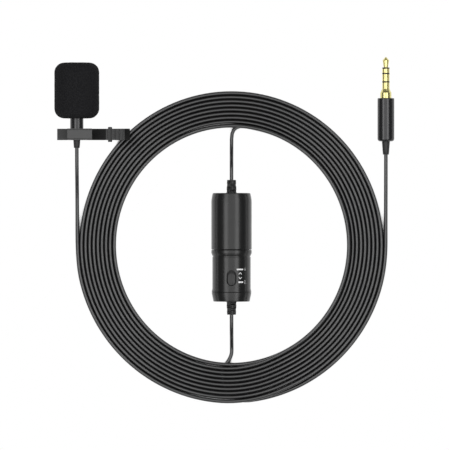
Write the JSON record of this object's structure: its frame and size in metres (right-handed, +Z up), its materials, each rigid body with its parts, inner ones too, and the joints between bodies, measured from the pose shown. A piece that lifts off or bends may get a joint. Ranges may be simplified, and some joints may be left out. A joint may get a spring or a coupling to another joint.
{
  "type": "lavalier microphone",
  "caption": "Wired clip-on microphone with foam windscreen, tie clip, round battery module with slide switch, four-pole plug and a flat-wound cord.",
  "frame": {"origin": "on the surface that the set lies on, below the middle of the box round the microphone, clip and battery module", "axes": "+Z up from the surface, +Y from the microphone's cord end towards its windscreen and along the plug towards its tip, +X from the microphone towards the plug"},
  "size_m": [0.1628, 0.166, 0.0216],
  "materials": {
    "foam": "matt open-cell foam",
    "dark_metal": "satin black",
    "black_rubber": "matt",
    "mesh": "fine woven mesh",
    "steel": "bare",
    "clip_plastic": "satin moulded",
    "pale_metal": "polished",
    "module_plastic": "fine matt",
    "tray_plastic": "moulded",
    "cell_steel": "bright",
    "gold": "gold plated",
    "board_green": "lacquered",
    "switch_plastic": "satin",
    "insulator": "moulded",
    "copper_wire": "insulated strands",
    "cord_black": "satin jacket"
  },
  "bodies": {
    "base": {"mic_grille": "dark_metal", "dust_screen": "mesh", "mic_capsule": "steel", "capsule_gasket": "black_rubber", "mic_barrel": "dark_metal", "mic_boot": "black_rubber", "lower_housing": "module_plastic", "tail_cap": "module_plastic", "bottom_boot": "black_rubber", "seal_ring": "black_rubber", "battery_tray": "tray_plastic", "button_cell": "cell_steel", "positive_contact": "gold", "negative_spring": "steel", "cord_anchor": "tray_plastic", "circuit_board": "board_green", "board_parts": "tray_plastic", "switch_body": "tray_plastic", "module_wires": "copper_wire", "jack_tip": "gold", "jack_ring_1": "gold", "jack_ring_2": "gold", "jack_sleeve": "gold", "jack_insulators": "insulator", "plug_core": "tray_plastic", "plug_handle": "dark_metal", "plug_boot": "black_rubber", "mic_cord": "cord_black", "cord_coil": "cord_black", "module_lead": "cord_black", "output_cord": "cord_black"},
    "windscreen": {"foam_windscreen": "foam"},
    "clip": {"clip_holder": "clip_plastic", "clip_face_plate": "pale_metal", "clip_front_jaw": "dark_metal", "clip_rivet": "steel", "clip_hinge_pin": "steel", "clip_spring": "steel"},
    "back_jaw": {"clip_back_jaw": "dark_metal"},
    "cap_boot": {"top_boot": "black_rubber"},
    "cap": {"battery_cap": "module_plastic"},
    "slider": {"switch_slider": "switch_plastic"}
  },
  "joints": [
    {"name": "windscreen_pull", "type": "slide", "parent": "base", "child": "windscreen", "axis": [0, 1, 0], "range_m": [0, 0.014]},
    {"name": "clip_swivel", "type": "hinge", "parent": "base", "child": "clip", "pos_m": [-0.03645, 0.02601, 0.0108], "axis": [0, -1, 0], "range_deg": [0, 180]},
    {"name": "clip_jaw_open", "type": "hinge", "parent": "clip", "child": "back_jaw", "pos_m": [-0.02065, 0.02601, 0.0042], "axis": [0, -1, 0], "range_deg": [0, 20], "stiffness_Nm_per_rad": 0.06, "springref_deg": -28.65, "deforming": ["clip_spring"]},
    {"name": "cap_travel", "type": "slide", "parent": "base", "child": "cap_boot", "axis": [0, 1, 0], "range_m": [0, 0.0024]},
    {"name": "cap_turn", "type": "hinge", "parent": "cap_boot", "child": "cap", "pos_m": [0.03758, -0.0171, 0.00967], "axis": [0, 1, 0], "range_deg": [0, 720]},
    {"name": "switch_slide", "type": "slide", "parent": "base", "child": "slider", "axis": [0, 1, 0], "range_m": [0, 0.001]}
  ],
  "couplings": [
    {"joint": "cap_turn", "follows": "cap_travel", "rad_per_m": 5236}
  ]
}
